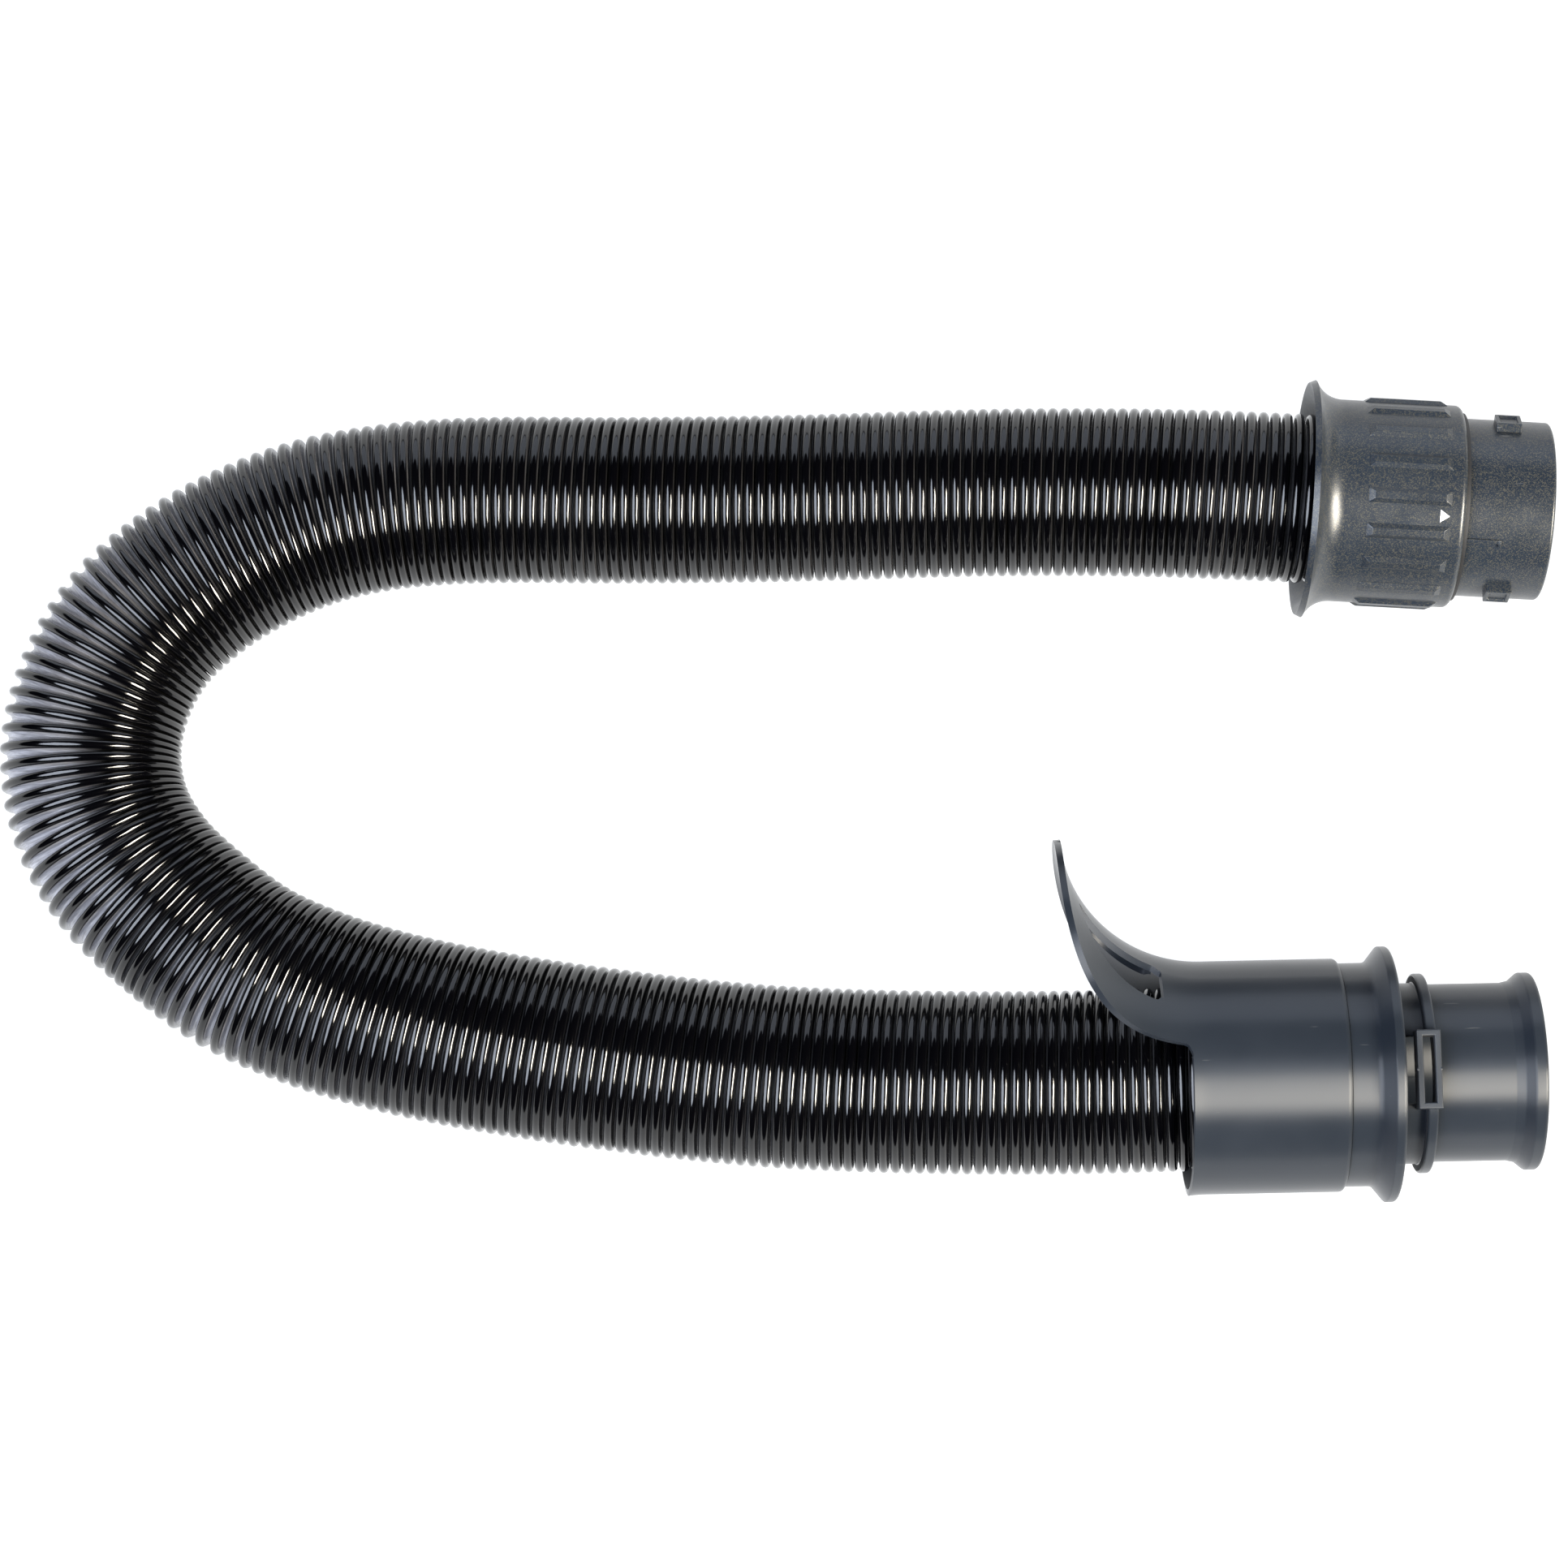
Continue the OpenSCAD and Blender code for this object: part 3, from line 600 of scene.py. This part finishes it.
def lug():
    """Lug with rounded edges and a shallow dish in its top."""
    foot, top = WAND_SPIGOT_R - 1, WAND_SPIGOT_R + LUG_H
    rings = []
    for x, inset in ((foot, 0), (top, 0), (top, 0.95), (top - 0.55, 1.1)):
        half, z0, z1 = LUG_W / 2 - inset, LUG_START + inset, LUG_START + LUG_L - inset
        corners = ((-half, z0), (half, z0), (half, z1), (-half, z1))
        rings.append([(x * MM, y * MM, z * MM) for y, z in corners])
    return loft(rings)


def plate(x0, x1, y0, y1, z0, z1):
    """Closed box in a cuff's frame."""
    return loft([
        [(x * MM, y * MM, z * MM) for x, y in ((x0, y0), (x1, y0), (x1, y1), (x0, y1))]
        for z in (z0, z1)
    ])


def make_spigot(material):
    """Bayonet spigot: a tube with its inner flange, three lugs and an L-shaped stop rib."""
    place = cuff_frame("wand_swivel")
    r, bore = WAND_SPIGOT_R, WAND_BORE
    tube = lathe(fillet([
        (bore, WAND_FLANGE[0], 0), (COLLAR_BORE - FIT, WAND_FLANGE[0], 0),
        (COLLAR_BORE - FIT, WAND_FLANGE[1], 0), (r, WAND_FLANGE[1], 0),
        (r, 40, 0), (r, 48, 0), (r, WAND_SPIGOT_END, 0.8), (bore, WAND_SPIGOT_END, 0.4), (bore, 45, 0),
    ], 5), ROUND)
    lugs = [moved(lug(), Matrix.Rotation(around(a), 4, "Z")) for a in LUG_ANGLES]
    turn = Matrix.Rotation(around(STOP_RIB_TURN), 4, "Z")
    rib = [moved(plate(r - 1, r + 0.6, -0.55, 0.55, 37.35, 45.4), turn),
           moved(plate(r - 1, r + 0.62, -0.55, 1.4, 45.1, 45.9), turn)]
    obj = finished("bayonet_spigot", joined(tube, *lugs, *rib), place, bevel=0.25)
    wear(obj, material)
    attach(obj, "wand_cuff")
    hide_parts("wand_bayonet_spigot")


# ---------------------------------------------------------------- machine cuff

SLEEVE_R, SLEEVE_BORE, SLEEVE_L, SLEEVE_RIM = 28.65, 27.05, 36.0, -1.8
TONGUE_ANGLE, TONGUE_TURN, TONGUE_CURVE, TONGUE_REACH = 14.5, 2.4, 34.0, 59.9
TIP_R, TIP_CENTRE, ROOT_HALF = 30.0, 29.9, 21.0
ROOT_SWEEP, ROOT_TRIES = 75, 400
WINDOW_R, WINDOW_CENTRE, WINDOW_END, SPINE_HALF = 20.2, 27.5, -8.8, 8.3
CORNER = 2.2


def corner_inset(distance, radius):
    """How far a rounded corner stands in at a distance from its end."""
    if distance >= radius:
        return 0.0
    return radius - math.sqrt(max(radius ** 2 - (radius - distance) ** 2, 0))


def tongue_half(rho):
    """Half angle of the tongue's outline at a distance from the sleeve's axis."""
    tip = (rho ** 2 + TIP_CENTRE ** 2 - TIP_R ** 2) / (2 * TIP_CENTRE * rho)
    widest = math.acos(min(1.0, tip))
    for k in range(ROOT_TRIES):
        angle = math.radians(ROOT_SWEEP) * (1 - k / ROOT_TRIES)
        a, b = rho * math.cos(angle), rho * math.sin(angle)
        if a <= TIP_CENTRE and b <= ROOT_HALF + (TIP_R - ROOT_HALF) * a / TIP_CENTRE:
            return max(widest, angle)
    return widest


def sleeve_rows():
    """Rows of (front radius, front place, back radius, back place, row's run along the tongue)."""
    shoulder = 1.2
    rows = []
    for k in range(7):
        a = math.radians(90 * (1 - k / 6))
        rows.append((SLEEVE_R - shoulder + shoulder * math.cos(a),
                     SLEEVE_L - shoulder + shoulder * math.sin(a),
                     SLEEVE_BORE, SLEEVE_L - 0.2 * k, None))
    body = 11
    for k in range(1, body):
        z = SLEEVE_L - shoulder + (TONGUE_TURN - SLEEVE_L + shoulder) * k / body
        rows.append((SLEEVE_R, z, SLEEVE_BORE, z, None))
    centre = SLEEVE_R + TONGUE_CURVE
    thick = TONGUE_CURVE + SLEEVE_R - SLEEVE_BORE
    rim = math.asin((TONGUE_TURN - SLEEVE_RIM) / TONGUE_CURVE)
    tip = math.acos((centre - TONGUE_REACH) / TONGUE_CURVE)
    steps = 84
    turns = [rim * k / 3 for k in range(3)] + [
        rim + (tip - rim) * (1 - (1 - k / steps) ** 1.5) for k in range(steps + 1)
    ]
    for turn in turns:
        run = TONGUE_CURVE * (turn - rim) if turn >= rim else None
        rows.append((centre - TONGUE_CURVE * math.cos(turn), TONGUE_TURN - TONGUE_CURVE * math.sin(turn),
                     centre - thick * math.cos(turn), TONGUE_TURN - thick * math.sin(turn), run))
    return rows


def window_limits(rho, z):
    """Angles from the tongue's middle between which its windows are open, or None."""
    inner = math.asin(SPINE_HALF / rho)
    share = (rho ** 2 + WINDOW_CENTRE ** 2 - WINDOW_R ** 2) / (2 * WINDOW_CENTRE * rho)
    outer = math.acos(max(-1.0, min(1.0, share)))
    inset = corner_inset(WINDOW_END - z, 1.6) / rho if z <= WINDOW_END else 0
    return inner + inset, outer - inset


def strip_columns(rho, z, run):
    """Angles of the tongue's columns at one row, and which column gaps are window."""
    edge = tongue_half(max(rho, SLEEVE_R)) + corner_inset(run, CORNER) / rho
    inner, outer = window_limits(rho, min(z, WINDOW_END))
    is_open = z <= WINDOW_END + 1e-6 and outer > inner + 0.012
    outer = min(max(outer, inner + 0.015), 0.93 * edge)
    inner = min(inner, 0.9 * outer)
    bounds = (-edge, -outer, -inner, inner, outer, edge)
    counts = (9, 10, 8, 10, 9)
    angles = [bounds[0]]
    for low, high, count in zip(bounds[:-1], bounds[1:], counts):
        angles += [low + (high - low) * k / count for k in range(1, count + 1)]
    window = [i in (1, 3) for i, count in enumerate(counts) for _ in range(count)]
    return angles, window, is_open


def make_hooked_sleeve(material):
    """Sleeve whose wall runs on into the curved tongue, with its two windows left open."""
    place = cuff_frame("machine_swivel")
    rows = sleeve_rows()
    rim = next(j for j, row in enumerate(rows) if row[4] is not None)
    root, window, _ = strip_columns(SLEEVE_R, SLEEVE_RIM, 0.0)
    rest = 96
    gap = 2 * math.pi - 2 * root[-1]
    spread = [root[-1] + gap * k / rest for k in range(1, rest)]
    columns = len(root) + rest - 1
    middle = around(TONGUE_ANGLE)
    verts, solid = [], []
    for j, (front_r, front_z, back_r, back_z, run) in enumerate(rows):
        if run is None or j == rim:
            angles, open_here = root, False
        else:
            angles, _, open_here = strip_columns(front_r, front_z, run)
        for a in [middle + v for v in list(angles) + spread]:
            verts.append((front_r * math.cos(a) * MM, front_r * math.sin(a) * MM, front_z * MM))
            verts.append((back_r * math.cos(a) * MM, back_r * math.sin(a) * MM, back_z * MM))
        if j:
            row = []
            for i in range(columns):
                on_tongue = i < len(root) - 1
                row.append(j <= rim or (on_tongue and not (open_here and window[i])))
            solid.append(row)

    def at(j, i, back):
        return (j * columns + i % columns) * 2 + back

    faces = []
    for j, row in enumerate(solid):
        for i, full in enumerate(row):
            if not full:
                continue
            faces.append((at(j, i, 0), at(j + 1, i, 0), at(j + 1, i + 1, 0), at(j, i + 1, 0)))
            faces.append((at(j, i + 1, 1), at(j + 1, i + 1, 1), at(j + 1, i, 1), at(j, i, 1)))
            if not row[(i + 1) % columns]:
                faces.append((at(j, i + 1, 0), at(j + 1, i + 1, 0), at(j + 1, i + 1, 1), at(j, i + 1, 1)))
            if not row[i - 1]:
                faces.append((at(j, i, 1), at(j + 1, i, 1), at(j + 1, i, 0), at(j, i, 0)))
            if j == 0 or not solid[j - 1][i]:
                faces.append((at(j, i, 0), at(j, i + 1, 0), at(j, i + 1, 1), at(j, i, 1)))
            if j + 1 == len(solid) or not solid[j + 1][i]:
                faces.append((at(j + 1, i, 1), at(j + 1, i + 1, 1),
                              at(j + 1, i + 1, 0), at(j + 1, i, 0)))
    used = sorted({v for f in faces for v in f})
    new = {v: k for k, v in enumerate(used)}
    part = [verts[v] for v in used], [tuple(new[v] for v in f) for f in faces]
    obj = finished("hooked_sleeve", part, place, bevel=0.4, angle=50)
    wear(obj, material)
    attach(obj, "machine_cuff")
    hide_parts("machine_hooked_sleeve")


STOP_R, STOP_PLUG_R, STOP_BORE, STOP_FLANGE_R, STOP_END = 27.45, 27.0, 25.05, 31.4, 48.6
NECK_R, MACHINE_SPIGOT_R, MACHINE_BORE = 22.2, 21.8, 19.8
ROOT_FLANGE_R, ROOT_FLANGE = 25.0, (34.8, 37.0)
RING_R, RING_AT, RING_L = 24.5, 54.4, 2.6
END_FLANGE_R, MACHINE_END = 24.2, 83.4
CATCH_TURN, CATCH_HALF, CATCH_BAR, CATCH, CATCH_TOP = 90, 9.5, 1.5, (51.8, 57.6), 25.8
CATCH_ROOT, WINDOW_GAP = 0.4, 0.3


def make_stop_body(material):
    """Stop body: the plug in the sleeve, a short barrel, and the cone out to the stop flange."""
    plug, front = ROOT_FLANGE[0] - 2.0, SLEEVE_L + FIT
    body = lathe(fillet([
        (STOP_BORE, plug, 0), (STOP_PLUG_R, plug, 0), (STOP_PLUG_R, front, 0),
        (STOP_R, front, 0.1), (STOP_R, 40, 0), (STOP_R, 43, 2.0),
        (STOP_FLANGE_R - 0.25, 45.95, 0.5), (STOP_FLANGE_R, STOP_END - 2.4, 0.4),
        (STOP_FLANGE_R, STOP_END, 0.9),
        (NECK_R + FIT, STOP_END, 0.4), (NECK_R + FIT, STOP_END - 2, 0), (STOP_BORE, STOP_END - 2, 0),
    ], 5), ROUND)
    obj = finished("stop_body", body, cuff_frame("machine_swivel"))
    wear(obj, material)
    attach(obj, "machine_cuff")
    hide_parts("machine_stop_body")


def make_machine_spigot(material):
    """Machine spigot: root flange, neck with its window, ring, tube, end flange and catch loop."""
    place = cuff_frame("machine_swivel")
    turn = Matrix.Rotation(around(CATCH_TURN), 4, "Z")
    ring_end = RING_AT + RING_L
    tube = lathe(fillet([
        (MACHINE_BORE, ROOT_FLANGE[0], 0), (ROOT_FLANGE_R, ROOT_FLANGE[0], 0),
        (ROOT_FLANGE_R, ROOT_FLANGE[1], 0), (NECK_R, ROOT_FLANGE[1], 0),
        (NECK_R, 48.8, 0), (NECK_R, RING_AT, 0.3), (RING_R, RING_AT, 0.6), (RING_R, ring_end, 0.6),
        (MACHINE_SPIGOT_R, ring_end, 0.4), (MACHINE_SPIGOT_R, 66, 0), (MACHINE_SPIGOT_R, 76, 1.0),
        (MACHINE_SPIGOT_R + 0.5, 78.2, 1.0), (END_FLANGE_R - 0.2, 80.2, 0.5), (END_FLANGE_R, 80.6, 0.3),
        (END_FLANGE_R, MACHINE_END, 0.9), (MACHINE_BORE, MACHINE_END, 0.5), (MACHINE_BORE, 60, 0),
    ], 5), ROUND)
    obj = finished("machine_spigot_tube", tube, place)
    half = CATCH_HALF - CATCH_BAR
    block = plate(10, 27, -half, half, STOP_END + WINDOW_GAP, CATCH[1] - CATCH_BAR)
    cutter = finished("window_cutter", moved(block, turn), place)
    cut = obj.modifiers.new("window", "BOOLEAN")
    cut.operation, cut.object, cut.solver = "DIFFERENCE", cutter, "EXACT"
    obj.modifiers.move(1, 0)
    depsgraph = bpy.context.evaluated_depsgraph_get()
    mesh = bpy.data.meshes.new_from_object(obj.evaluated_get(depsgraph))
    obj.modifiers.clear()
    obj.data = mesh
    bpy.data.objects.remove(cutter)
    shade_by_angle(obj)
    wear(obj, material)
    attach(obj, "machine_cuff")
    bars = loop_frame(MACHINE_BORE + CATCH_ROOT, CATCH_TOP, CATCH_HALF, CATCH_BAR, *CATCH)
    # a small stud at the middle of each of the loop's long bars
    studs = [plate(CATCH_TOP - 1.2, CATCH_TOP + 0.02, -0.5, 0.5, z - 0.35, z + 0.35)
             for z in (CATCH[0] + 0.1, CATCH[1] - 0.2)]
    clip = finished("catch_loop", moved(joined(bars, *studs), turn), place, bevel=0.3, angle=40)
    wear(clip, material)
    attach(clip, "machine_cuff")
    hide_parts("machine_spigot")


def shade_by_angle(obj, angle=35):
    """Sharp edges where faces meet at more than an angle, smooth elsewhere."""
    bm = bmesh.new()
    bm.from_mesh(obj.data)
    for face in bm.faces:
        face.smooth = True
    for edge in bm.edges:
        if len(edge.link_faces) == 2:
            edge.smooth = edge.calc_face_angle(0) < math.radians(angle)
    bm.to_mesh(obj.data)
    bm.free()


def loop_frame(low, top, half, bar, z0, z1):
    """Rectangular loop standing on a wall, open in its middle, as one closed ring."""
    rings = [
        [(-half + b, z0 + b), (half - b, z0 + b), (half - b, z1 - b), (-half + b, z1 - b)]
        for b in (0, bar)
    ]
    verts = [(x * MM, y * MM, z * MM) for ring in rings for x in (low, top) for y, z in ring]
    faces = []
    for k in range(4):
        n = (k + 1) % 4
        faces.append((k, n, 4 + n, 4 + k))
        faces.append((8 + n, 8 + k, 12 + k, 12 + n))
        faces.append((4 + k, 4 + n, 12 + n, 12 + k))
        faces.append((n, k, 8 + k, 8 + n))
    return verts, faces


# ---------------------------------------------------------------- light and floor

LIGHT_AIM = Vector((0, 0, 0.02))
COOL, WARM = (0.8, 0.87, 1.0), (1.0, 0.93, 0.8)
FLOOR_HALF = 6.0


def area_light(name, direction, distance, size, radiance, colour, shape="RECTANGLE"):
    """Soft box of a given radiance, facing the hose from a direction."""
    data = bpy.data.lights.new(name, "AREA")
    data.shape = shape
    data.size, data.size_y = size
    area = size[0] * size[1] * (math.pi / 4 if shape == "ELLIPSE" else 1)
    data.energy = radiance * math.pi * area
    data.color = colour
    light = bpy.data.objects.new(name, data)
    way = Vector(direction).normalized()
    light.location = LIGHT_AIM + way * distance
    light.rotation_euler = way.to_track_quat("Z", "Y").to_euler()
    bpy.context.collection.objects.link(light)


def make_stage():
    """White floor that stays white under the hose, a dim world and three soft boxes."""
    corners = [(x * FLOOR_HALF, y * FLOOR_HALF, 0) for x, y in ((-1, -1), (1, -1), (1, 1), (-1, 1))]
    floor = new_object("floor", corners, [(0, 1, 2, 3)])
    n = Nodes("floor_white")
    shade = n.ramp(n.noise(n.coords(), 3, 2), 0.3, 0.7, 0.97, 1.0)
    wear(floor, n.set(Base_Color=n.mix(shade, (0.04, 0.04, 0.04), (0.05, 0.05, 0.05)), Roughness=0.7,
                      Emission_Color=(0.96, 0.98, 1.0), Emission_Strength=1.03))
    world = bpy.data.worlds.new("studio")
    world.use_nodes = True
    world.node_tree.nodes["Background"].inputs["Color"].default_value = (0.004, 0.004, 0.006, 1)
    bpy.context.scene.world = world
    area_light("cool_box", (-0.67, -0.34, 1), 2.0, (2.1, 1.85), 10, COOL, "ELLIPSE")
    area_light("warm_box", (1.1, -0.45, 1), 2.2, (1.15, 0.8), 58, WARM)
    area_light("backdrop", (0, 1, 0.35), 2.0, (4.0, 1.2), 1.5, COOL)
    view = bpy.context.scene.view_settings
    view.view_transform = "Standard"
    view.look = "None"


# ---------------------------------------------------------------- assembly

make_camera()
make_hose(hose_plastic())
wand_plastic = flecked_plastic()
machine_plastic = scuffed_plastic()
make_collar(wand_plastic)
make_spigot(wand_plastic)
make_hooked_sleeve(machine_plastic)
make_stop_body(machine_plastic)
make_machine_spigot(machine_plastic)
make_stage()

rubber = plain_plastic("seal_rubber", (0.012, 0.012, 0.013), 0.55)
black = plain_plastic("fitting_plastic", (0.006, 0.006, 0.007), 0.3)
acetal = plain_plastic("ring_plastic", (0.5, 0.48, 0.43), 0.4)
white = plain_plastic("arrow_plastic", (0.85, 0.85, 0.85), 0.45)
FINISH = {
    "wand_end_fitting": black, "machine_end_fitting": black,
    "wand_snap_ring": acetal, "machine_snap_ring": acetal,
    "wand_lip_seal": rubber, "machine_lip_seal": rubber, "wand_face_gasket": rubber,
    "wand_arrow_inlay": white,
}
for node, material in FINISH.items():
    wear(frame["nodes"][node], material)
